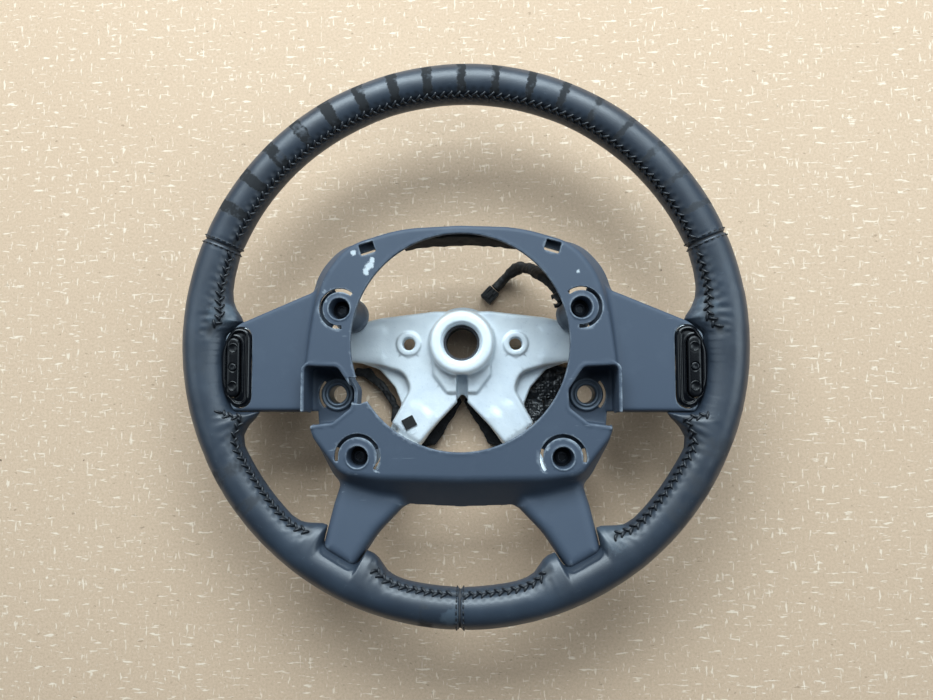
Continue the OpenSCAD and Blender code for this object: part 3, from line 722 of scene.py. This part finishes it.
def build_bezel():
    """Half of the moulding, mirrored, with the notch that only its left side has."""
    f = Field((0, -160, 34), (170, 82, 74), 0.6)
    x, y, z = f.x, f.y, f.z
    face, foot = outline(x, y, both_sides(FACE)), outline(x, y, both_sides(FOOT))
    cover, sleeve = outline(x, y, COVER), outline(x, y, SLEEVE)
    drop = np.clip((FACE_Z - z) / (FACE_Z - FOOT_Z), 0, 1)
    loft = face * (1 - drop) + foot * drop
    out = x * math.cos(LOWER_ANGLE) + y * math.sin(LOWER_ANGLE) - 112
    sleeve_top = 54.5 + 0.16 * np.clip(out, -20, 60)
    outer = smooth_max(loft, z - FACE_Z, 3.4)
    outer = smooth_min(outer, smooth_max(cover + 0.08 * (z - FOOT_Z), z - COVER_Z, 3.0), 4)
    outer = smooth_min(outer, smooth_max(sleeve + 0.12 * (z - FOOT_Z), z - sleeve_top, 7), 4)
    inner = smooth_max(loft + WALL, z - FACE_Z + WALL, 2)
    inner = smooth_min(inner, smooth_max(cover + WALL, z - COVER_Z + WALL, 2), 1)
    inner = smooth_min(inner, smooth_max(sleeve + WALL, z - sleeve_top + WALL, 5), 2)
    f.v[...] = smooth_max(smooth_max(outer, -inner, 0.4), FOOT_Z - z, 0.5)
    opening = np.hypot(x, y - OPENING_Y) - OPENING_R
    f.add(smooth_max(np.abs(opening - 1) - 1, np.abs(z - FACE_Z + 2.2) - 2.2, 0.8), 0.5)
    g = f.part(64, 114, -68, -8)
    pocket = outline(g.x, g.y, POCKET)
    r = np.hypot(g.x - BUSHING[0], g.y - BUSHING[1])
    shell = smooth_max(smooth_max(pocket - WALL, POCKET_FLOOR - WALL - g.z, 1), g.z - FACE_Z, 0.5)
    held = smooth_max(shell, np.minimum(face, cover)[g_slice(f, g)] + 0.5, 0.5)
    g.add(held, 1)
    cups_and_holes(f)
    f.cut(opening, 1.2)
    g.cut(smooth_max(pocket, POCKET_FLOOR - g.z, 2.5), 1.8)
    g.cut(r - 10)
    angle = np.degrees(np.arctan2(g.y - BUSHING[1], g.x - BUSHING[0]))
    g.cut(np.maximum(np.abs(r - 12.4) - 1.1, np.abs(angle) / 3 - 15), 0.4)
    windows(f)
    g = f.part(140, 168, -52, 14)
    g.cut(outline(g.x, g.y, POD) - 0.4, 0.8)
    f.mirror()
    g = f.part(-80, -58, -50, -24)
    g.cut(np.maximum(outline(g.x, g.y, LEFT_NOTCH), 60 - g.z), 0.5)
    return f.mesh("bezel")


def g_slice(f, g):
    """Where the part g lies in the field f, for a flat array over f."""
    i = int(round(float(g.x[0, 0, 0] - f.x[0, 0, 0]) / f.step))
    k = int(round(float(g.y[0, 0, 0] - f.y[0, 0, 0]) / f.step))
    return slice(i, i + g.x.size), slice(k, k + g.y.size)


def post_profile(foot, wide):
    """A hollow post from under a cup down to its foot, a flange of radius wide."""
    bore, top = 2.6, 57
    return [(bore, foot), (wide, foot), (wide + 0.4, foot + 1), (wide - 1.6, foot + 8), (9.4, 46),
            (8.7, 52), (8.6, top), (bore, top)]


place(build_bezel(), "trim_plastic", "trim_bezel")
UPPER_POST, LOWER_POST = post_profile(23, 12.5), post_profile(32, 10)
posts = [lathe(UPPER_POST if cy > 0 else LOWER_POST, (cx, cy)) for cx, cy in CUP_PLACES]
place(merged("bezel_posts", posts), "trim_plastic")


# --- cast frame

def arm(f, angle, width, radii, tops, bottoms):
    """An arm at an angle from +X: a channel open at the back whose height follows tops and bottoms."""
    along = f.x * math.cos(angle) + f.y * math.sin(angle)
    across = np.abs(f.y * math.cos(angle) - f.x * math.sin(angle))
    top = np.interp(along, radii, tops).astype(np.float32)
    bottom = np.interp(along, radii, bottoms).astype(np.float32)
    ends = np.maximum(radii[0] - along, along - radii[-1])
    height = smooth_max((f.z - top) * 0.88, (bottom - f.z) * 0.88, 2)
    solid = smooth_max(smooth_max(height, across - width / 2, 4), ends, 2)
    trough = smooth_max(across - width / 2 + 4, (f.z - top) * 0.88 + 5, 3)
    return smooth_max(solid, -smooth_max(trough, np.abs(along - 116) - 44, 4), 1)


def build_casting():
    """Half of the frame, mirrored: web, flange, arms, boss, puller holes and the pads under the cups."""
    f = Field((0, -170, -1), (190, 32, 66), 0.7)
    x, y, z = f.x, f.y, f.z
    f.v[...] = smooth_max(outline(x, y, both_sides(WEB)), np.abs(z - 16) - 4, 2.4)
    f.add(smooth_max(outline(x, y, both_sides(FLANGE)), np.abs(z - 10.5) - 2.5, 1.5), 2.4)
    side = ((58, 90, 138, 164, 172, 187),  # distance from the hub, then the arm's top and bottom there
            (19.6, 19.6, 41.6, 43.6, 60, 63.6),
            (7.6, 7.6, 27.6, 37.6, 47.6, 47.6))
    low = ((56, 84, 140, 166, 172, 187),
           (19.6, 19.6, 43.6, 45.6, 60, 63.6),
           (7.6, 7.6, 29.6, 40, 47.6, 47.6))
    f.add(arm(f, 0, 24, *side), 3)
    f.add(arm(f, LOWER_ANGLE, 20, *low), 3)
    g = f.part(0, 60, -60, 32)
    r = np.hypot(g.x, g.y)
    g.add(smooth_max(outline(g.x, g.y, both_sides(SHIELD)), np.abs(g.z - 15) - 7.4, 2), 2)
    g.add(smooth_max(r - BOSS_R - 5, np.abs(g.z - 4.5) - 4.5, 1), 2)
    g.add(smooth_max(r - BOSS_R - 0.03 * (BOSS_H - g.z), np.abs(g.z - BOSS_H / 2) - BOSS_H / 2, 4.5), 3)
    puller = np.hypot(g.x - PULLER_X, g.y)
    g.add(smooth_max(puller - 8.5, np.abs(g.z - 14.6) - 6.3, 1), 2)
    g.cut(np.maximum(r - 16, g.z - 27), 0.5)
    g.cut(r - 13 - np.clip(g.z - BOSS_H + 2.5, 0, 9) * 0.9, 0.5)
    g.cut(puller - PULLER_R, 1.0)
    g.cut(np.maximum(smooth_max(np.abs(g.x) - 4.0, np.abs(g.y + 32.5) - 10, 1.5), 11 - g.z), 1.0)
    for cx, cy, foot, top in ((81, 20.4, 8, 23), (68, -78.8, 14, 32)):
        g = f.part(cx - 28, cx + 28, cy - 28, cy + 28)
        r = np.hypot(g.x - cx, g.y - cy)
        g.add(smooth_max(r - 8, np.abs(g.z - (top + foot) / 2) - (top - foot) / 2, 1.5), 3)
    f.v[...] = smooth_max(f.v, -z, 0.3)  # the back is flat, and rests on the board
    f.mirror()
    return f.mesh("casting")


place(build_casting(), "cast_alloy", "hub_armature")


# --- leather grip

FLARE = [  # degrees above the level, and how far the leather reaches inwards there beyond the round grip
    (-77, 0), (-74.5, 0.8), (-72.5, 2.6), (-71, 5.8), (-69.5, 8.8), (-68, 10.2), (-60.5, 10.4),
    (-54.5, 11.2), (-53, 10.0), (-51.5, 7.0), (-50, 3.8), (-48.6, 1.4), (-46, 0), (-26, 0), (-23.5, 2.6),
    (-21.8, 8.5), (-20.6, 15.5), (-19.5, 19.5), (4, 15.5), (6, 12.8), (8, 8.2), (10, 4.8), (12.5, 2.6),
    (16, 1.2), (21, 0),
]
STITCH = [  # degrees above the level, and how many degrees over the grip the stitches lie there
    (-90, 143), (-76, 143), (-70, 141), (-66, 132), (-54, 132), (-51, 141), (-46, 145), (-30, 147),
    (-22, 139), (-15.5, 126), (-10, 124), (2, 121), (6, 127), (10, 134), (16, 141), (24, 143), (90, 143),
]
ROOTS = [(7, 8), (-24, 9), (-49, 5), (-71, 5)]  # where the leather meets a spoke, and the gathers' width


def folded(u):
    """Degrees above the level through the hub, alike on both sides of the wheel."""
    a = np.radians(u)
    return np.degrees(np.arctan2(np.sin(a), np.abs(np.cos(a))))


def covered_to():
    """Angles from straight down to straight up, and the radii that cover and sleeve reach out to there."""
    angles = np.arange(-90, 90.1, 0.25)
    radii = np.arange(130, 176, 0.5)
    a = np.radians(angles)[:, None]
    x, y = radii * np.cos(a), radii * np.sin(a)
    reach = []
    for shape in (COVER, SLEEVE):
        inside = outline(x, y, shape) < 0
        reach.append(np.where(inside.any(axis=1), (inside * radii).max(axis=1), 0))
    return angles, reach[0], reach[1]


COVERED = covered_to()


def rim_surface(u, v, lift=0.0):
    """Point on the leather at u degrees round the wheel and v degrees over the grip, lifted by lift."""
    u, v = np.broadcast_arrays(np.asarray(u, float), np.asarray(v, float))
    a, b = np.radians(u), np.radians(v)
    fold = folded(u)
    flare = graph(fold, FLARE)
    angles, by_cover, by_sleeve = COVERED
    under = np.maximum(np.interp(fold, angles, by_cover) - 1.2, np.interp(fold, angles, by_sleeve) - 1.0)
    limit = np.where(under > 100, RIM_R - GRIP_R - under, 99)
    flare = np.minimum(flare, np.maximum(limit, 0))
    inward = np.clip(-np.cos(b), 0, 1) ** 1.3
    r = GRIP_R + lift
    across = r * np.cos(b) - flare * inward
    up = r * np.sin(b) * (1 - 0.010 * flare * inward)
    x, y, z = (RIM_R + across) * np.cos(a), (RIM_R + across) * np.sin(a), RIM_Z + up
    for shape, level, steep in ((COVER, 58.5, 5.0), (SLEEVE, 60.0, 9.0)):
        d = outline(np.abs(x), y, shape)
        foam = RIM_Z + np.sqrt(np.clip(FOAM_R ** 2 - (RIM_R - np.hypot(x, y)) ** 2, 0, None))
        cap = level + steep * np.sqrt(np.clip(d, 0, None)) + lift * 0.5 - 2.0 * np.clip(-d, 0, 1.5)
        z = np.where(up > 0, smooth_min(z, np.maximum(cap, foam), 0.8), z)
    return np.stack((x, y, z), axis=-1)


def stitch_over(u):
    return graph(folded(u), STITCH)


def gathered(u):
    """1 at the spoke roots, where the leather is gathered most, and 0 along the free rim."""
    return sum(np.exp(-((folded(u) - at) / wide) ** 2) for at, wide in ROOTS)


def hidden_by(fold, low, low_end, high, high_end):
    """1 between two angles, where a spoke's trim hides the stitching."""
    return ramp(fold, low, low_end) - ramp(fold, high, high_end)


def leather_panel(name, a0, a1):
    """The leather from one seam to the next, puckered at its stitches and tucked in at its ends."""
    u = np.arange(a0 + 0.02, a1, 0.24)
    v = np.linspace(0, 360, 150, endpoint=False)
    uu, vv = np.meshgrid(u, v, indexing="ij")
    base = rim_surface(uu, vv)
    x, y, z = (base[..., k] for k in range(3))
    mm = np.radians(uu) * (RIM_R - 11)
    side = (vv - stitch_over(uu)) * math.pi / 180 * GRIP_R
    tight = gathered(uu)
    wave = np.cos(2 * math.pi * mm / PITCH)
    fold = folded(uu)
    sewn = 1 - hidden_by(fold, -18.5, -16.5, -0.5, 2) - hidden_by(fold, -69.5, -67.5, -53.5, -51.5)
    valley = np.exp(-(side / 2.2) ** 2) * sewn
    gather = np.exp(-((np.abs(side) - 4.2) / 1.6) ** 2) * (0.5 - 0.5 * wave) * sewn
    rumple = noise(mm, side * 0.35, 0 * mm, 3.4, 11)
    long_fold = np.exp(-((np.abs(side) - 6.0) / 2.4) ** 2) * tight * rumple * sewn
    lift = -0.85 * valley - 0.30 * gather + 0.30 * long_fold
    lift = lift + 0.20 * noise(x, y, z, 24, 12) + 0.05 * noise(x, y, z, 6, 13) * (1 + 1.5 * tight)
    ends = np.minimum(uu - a0, a1 - uu) * math.pi / 180 * RIM_R
    lift = lift - 1.5 * (1 - ramp(ends, 0.0, 1.5)) - 0.18 * np.exp(-((ends - 3.4) / 1.1) ** 2)
    points = rim_surface(uu, vv, lift)
    n, m = len(u), len(v)
    verts = points.reshape(-1, 3)
    index = np.arange(n * m).reshape(n, m)
    a, b = index[:-1], np.roll(index, -1, axis=1)[:-1]
    c, d = np.roll(index, -1, axis=1)[1:], index[1:]
    faces = np.stack((a, d, c, b), axis=-1).reshape(-1, 4).tolist()
    faces += [index[0].tolist(), index[-1][::-1].tolist()]
    obj = mesh_object(name, verts, faces)
    # where the material paints shade: the stitch valleys, the gathers beside them and the tucked seam ends
    groove_shade = np.clip(valley * 0.8 + gather * 0.3 + (1 - ramp(ends, 0.2, 1.3)), 0, 1)
    for key, values in (("around", uu), ("over", vv), ("groove_shade", groove_shade)):
        layer = obj.data.attributes.new(key, "FLOAT", "POINT")
        layer.data.foreach_set("value", values.astype(np.float32).ravel())
    return obj


def thread(points, radius=0.62):
    """A short thread through points that thins a little and dips at its ends."""
    curve = spline(points, 3)
    grow = np.sin(np.linspace(0.25, math.pi - 0.25, len(curve))) ** 0.4
    return [(p, radius * g) for p, g in zip(curve, grow)]


def braid(a0, a1):
    """Herringbone stitches along the grip's inner edge from angle a0 to a1."""
    u = np.arange(a0, a1, 0.05)
    over = stitch_over(u)
    path = rim_surface(u, over)
    normal = rim_surface(u, over, 1.0) - path
    normal /= np.linalg.norm(normal, axis=1, keepdims=True)
    at = travelled(path)
    tangent = np.gradient(path, axis=0)
    tangent /= np.linalg.norm(tangent, axis=1, keepdims=True)
    side = np.cross(normal, tangent)
    tight = gathered(u)
    rng = np.random.default_rng(int(a0))

    def point(s, q, lift):
        p, n, b = (np.array([np.interp(s, at, w[:, k]) for k in range(3)]) for w in (path, normal, side))
        return p + b * q + n * (lift - q * q / (2 * GRIP_R))

    paths = []
    for k, s in enumerate(np.arange(2.0, at[-1] - 3.0, PITCH / 2)):
        s += rng.uniform(-0.25, 0.25)
        sign = 1 if k % 2 else -1
        reach = (3.0 + 0.5 * np.interp(s, at, tight)) * rng.uniform(0.92, 1.08)
        bend = [point(s - 2.1, sign * reach, -0.9), point(s - 1.2, sign * reach * 0.66, 0.15),
                point(s + 0.4, sign * reach * 0.18, 0.25), point(s + 2.0, -sign * 0.8, -0.7)]
        paths.append(thread(bend, 0.95))
    return paths


def seam_rows(angle):
    """Two rows of stitches round the grip, one on each side of a seam."""
    paths = []
    for row in (-1, 1):
        for v in np.arange(0, 360, 17):
            du = math.degrees(row * 2.3 / RIM_R)
            points = [rim_surface(angle + du, v + dv, lift)
                      for dv, lift in ((0, -0.5), (3.5, 0.12), (9, 0.12), (12.5, -0.5))]
            paths.append(thread(points, 0.5))
    return paths


THREAD_SIDES = 7
PANELS = {  # the seams at both ends, then the stretches whose stitches show, all in degrees round the rim
    "top": (SEAMS[0], SEAMS[1], [(23, 157)]),
    "left": (SEAMS[1], SEAMS[2], [(159, 178), (196, 232.5), (249, 269)]),
    "right": (SEAMS[2], SEAMS[0] + 360, [(271, 291), (307.5, 344), (362, 381)]),
}
for name, (a0, a1, spans) in PANELS.items():
    place(leather_panel("leather_" + name + "_cover", a0, a1), "leather", "leather_" + name)
    stitches = sweep([p for span in spans for p in braid(*span)], THREAD_SIDES)
    place(mesh_object("stitches_" + name, *stitches), "thread", "stitching_" + name)
rows = sweep([p for angle in SEAMS for p in seam_rows(angle)], THREAD_SIDES)
place(mesh_object("seam_stitches", *rows), "thread", "seam_stitching")


# --- switch pods

def strip_distance(f):
    """Distance to the rocker strip's outline, a slot with round ends along Y at the pod's middle."""
    along = np.maximum(np.abs(f.y - POD_Y) - (STRIP_L - STRIP_W) / 2, 0)
    return np.hypot(f.x - POD_X, along) - STRIP_W / 2


def build_housing():
    """The gloss shell: a dished face with a raised rim round the rocker's slot."""
    f = Field((142, -48, 44.5), (166, 11, 64), 0.25)
    pod = outline(f.x, f.y, POD)
    f.v[...] = smooth_max(smooth_max(pod, f.z - POD_TOP - 0.6, 3.2), 46 - f.z, 0.3)
    f.cut(smooth_max(pod + 3.0, POD_TOP - 0.9 - f.z - 0.12 * (pod + 3), 1.2), 1.2)
    f.cut(np.maximum(pod + 1.8, f.z - 54.5))
    strip = strip_distance(f)
    f.add(smooth_max(np.abs(strip - 1.1) - 0.7, np.abs(f.z - 58) - 3.6, 0.6), 0.6)
    f.cut(strip - 0.4, 0.4)
    return f.mesh("pod_housing_right", 0.02)


def build_rocker():
    """The crowned strip, with a ringed dimple near each end and a hole for the button."""
    f = Field((149, -41, 55.5), (162, 4, 66), 0.2)
    strip = strip_distance(f)
    crown = 0.006 * np.abs(f.y - POD_Y) ** 1.5
    f.v[...] = smooth_max(smooth_max(strip, f.z - 64.4 + crown * 0.3, 2.2), 56.4 - f.z, 0.4)
    for dy in (-DIMPLE_Y, DIMPLE_Y):
        r = np.hypot(f.x - POD_X, f.y - POD_Y - dy)
        f.cut(np.sqrt(r * r + (f.z - 64.3 - 7.4) ** 2) - 8.2, 0.25)
        f.add(np.hypot(r - 3.1, f.z - 64.25) - 0.22, 0.35)
    f.cut(np.hypot(f.x - POD_X, f.y - POD_Y) - 3.0, 0.4)
    return f.mesh("pod_rocker_right", 0.02)


def build_button():
    """A round plunger with a dished top."""
    f = Field((151, -23, 54.8), (160, -14, 66.5), 0.15)
    r = np.hypot(f.x - POD_X, f.y - POD_Y)
    f.v[...] = smooth_max(smooth_max(r - 2.8, f.z - 65.0 + 0.05 * r * r, 0.9), 55.2 - f.z, 0.3)
    f.cut(np.sqrt(r * r + (f.z - 64.9 - 4.6) ** 2) - 4.9, 0.3)
    return f.mesh("pod_button_right", 0.02)


for kind, build, slot in (("housing", build_housing, "pod_gloss"), ("rocker", build_rocker, "rocker_black"),
                          ("button", build_button, "button_black")):
    piece = build()
    for hand, obj in (("right", piece), ("left", mirrored(piece, "pod_" + kind + "_left"))):
        body = "wheel" if kind == "housing" else kind + "_" + hand
        place(obj, slot, "switch_" + kind + "_" + hand, body=body)

# --- screws, bushings and leads

def build_screws():
    """A domed head with a flange, a hexagon socket and a short shank, in each of the four cups."""
    f = Field((-6, -6, -15), (6, 6, 4), 0.22)
    r = np.hypot(f.x, f.y)
    f.v[...] = smooth_max(smooth_max(r - 5, np.sqrt(r * r + (f.z + 7) ** 2) - 9.8, 0.5), -f.z, 0.4)
    f.add(smooth_max(r - 2.4, np.abs(f.z + 7) - 7, 0.4), 0.3)
    f.add(smooth_max(r - 6.2, np.abs(f.z - 0.3) - 0.3, 0.3), 0.1)
    hexagon = np.maximum(np.abs(f.x), np.abs(f.x) * 0.5 + np.abs(f.y) * 0.866) - 2.3
    f.cut(smooth_max(hexagon, 0.4 - f.z, 0.3), 0.3)
    one = f.mesh("screw")
    verts = np.array([v.co for v in one.data.vertices]) / MM
    faces = [list(p.vertices) for p in one.data.polygons]
    bpy.data.objects.remove(one)
    return merged("cup_screws", [(verts + (x, y, CUP_FLOOR + 2), faces) for x, y in CUP_PLACES])


BUSHING_PROFILE = [(6.2, 27), (6.2, 44.6), (6.6, 45.4), (7.2, 45.9), (8.4, 46), (8.6, 45.2), (9.4, 45.2),
                   (9.6, 46), (10.9, 45.9), (11.4, 45.4), (11.4, 44.2), (9.4, 44), (9.4, 28), (8.8, 27)]
place(build_screws(), "screw_steel", "bezel_screws")
bushings = [lathe(BUSHING_PROFILE, (side * BUSHING[0], BUSHING[1])) for side in (-1, 1)]
place(merged("side_bushings", bushings), "bushing_steel", "airbag_bushings")
for hand, side in (("left", -1), ("right", 1)):
    path = [(p * (side, 1, 1), LEAD_R) for p in spline(LEAD_ROUTE)]
    place(mesh_object("lead_" + hand, *sweep([path], 14)), "loom_tape", "switch_lead_" + hand)


# --- tape, film and foam behind the arms, and a black strip for the shade inside the top wall

def rough_piece(name, shapes, z0, z1, lumps, size, seed, slot, node):
    """A soft torn piece from z0 to z1 inside the outlines, rumpled by lumps about size across."""
    xs = [p[0] for s in shapes for p in s]
    ys = [p[1] for s in shapes for p in s]
    f = Field((min(xs) - 3, min(ys) - 3, z0 - 1), (max(xs) + 3, max(ys) + 3, z1 + 2), 0.45)
    for shape in shapes:
        d = outline(f.x, f.y, shape) + lumps * noise(f.x, f.y, f.z * 0.4, size, seed)
        top = z1 - 0.4 + lumps * 0.8 * noise(f.x, f.y, 0 * f.z, size * 1.3, seed + 1)
        crease = lumps * 0.7 * np.abs(noise(f.x, f.y, 0 * f.z, size * 0.5, seed + 2))
        f.add(smooth_max(smooth_max(d, f.z - top + crease, 1.2), z0 - f.z, 0.5), 0.5)
    return place(f.mesh(name), slot, node)


rough_piece("left_tape", [[(-81, -17, 2), (-70, -17.5, 4), (-56, -32, 6), (-46, -48, 4), (-47, -60, 2),
                           (-54, -58, 2), (-53, -46, 6), (-62, -33, 8), (-74, -24, 6), (-81, -23, 2)]],
            3, 7.4, 0.9, 5, 21, "loom_tape", "tape_strip_left")
rough_piece("right_film", [[(81, -16, 2), (62, -16, 6), (46, -30, 6), (42, -46, 6), (50, -60, 4),
                            (60, -55, 6), (68, -38, 6), (81, -25, 2)]],
            2, 7.2, 1.8, 4.5, 31, "black_film", "tape_bundle_right")
notch = [(0.5, -42, 0), (4, -37, 0), (33, -69, 0), (30, -77, 2), (19, -73, 2), (9, -56, 2)]
rough_piece("notch_strips", [notch, [(-x, y, r) for x, y, r in reversed(notch)]],
            2, 7.4, 0.8, 3, 41, "strip_foam", "notch_foam")
# a black strip inside the top of the opening, a dark sheet that stands in for the top wall's shade
rough_piece("top_wall_shade_strip", [[(-41, 70, 0), (-20, 72.2, 9), (0, 73, 0), (20, 72.2, 9), (41, 70, 0),
                            (40, 66.5, 0), (20, 69, 9), (0, 69.8, 0), (-20, 69, 9), (-40, 66.5, 0)]],
            34, 65.5, 0.6, 4, 51, "strip_foam", "wall_foam")

# --- floor and light

bpy.ops.mesh.primitive_plane_add(size=6, location=(0, 0, 0))
floor = bpy.context.object
floor.name = "floor"
floor_material()
floor.data.materials.append(FINISHES["floor_board"])


def area_light(name, place_at, size, watts, color):
    """A soft rectangular light that looks at the hub."""
    data = bpy.data.lights.new(name, "AREA")
    data.shape, data.size, data.size_y = "RECTANGLE", size[0], size[1]
    data.energy, data.color = watts, color
    obj = bpy.data.objects.new(name, data)
    scene.collection.objects.link(obj)
    obj.location = place_at
    obj.rotation_euler = (-Vector(place_at)).to_track_quat("-Z", "Y").to_euler()


COOL = (0.80, 0.93, 1.0)
area_light("window", (-0.1, 1.35, 1.20), (2.2, 0.9), 66, COOL)
area_light("ceiling", (0.05, 0.62, 1.70), (1.8, 0.5), 5, COOL)
area_light("left", (-1.45, 0.15, 1.25), (0.8, 1.2), 5, COOL)
area_light("right", (1.45, 0.15, 1.25), (0.8, 1.2), 11, (0.78, 0.92, 1.0))
world = bpy.data.worlds.new("studio")
scene.world = world
world.use_nodes = True
background = world.node_tree.nodes["Background"]
background.inputs["Color"].default_value = (0.70, 0.84, 1.0, 1)
background.inputs["Strength"].default_value = 0.04
scene.view_settings.view_transform = "Standard"
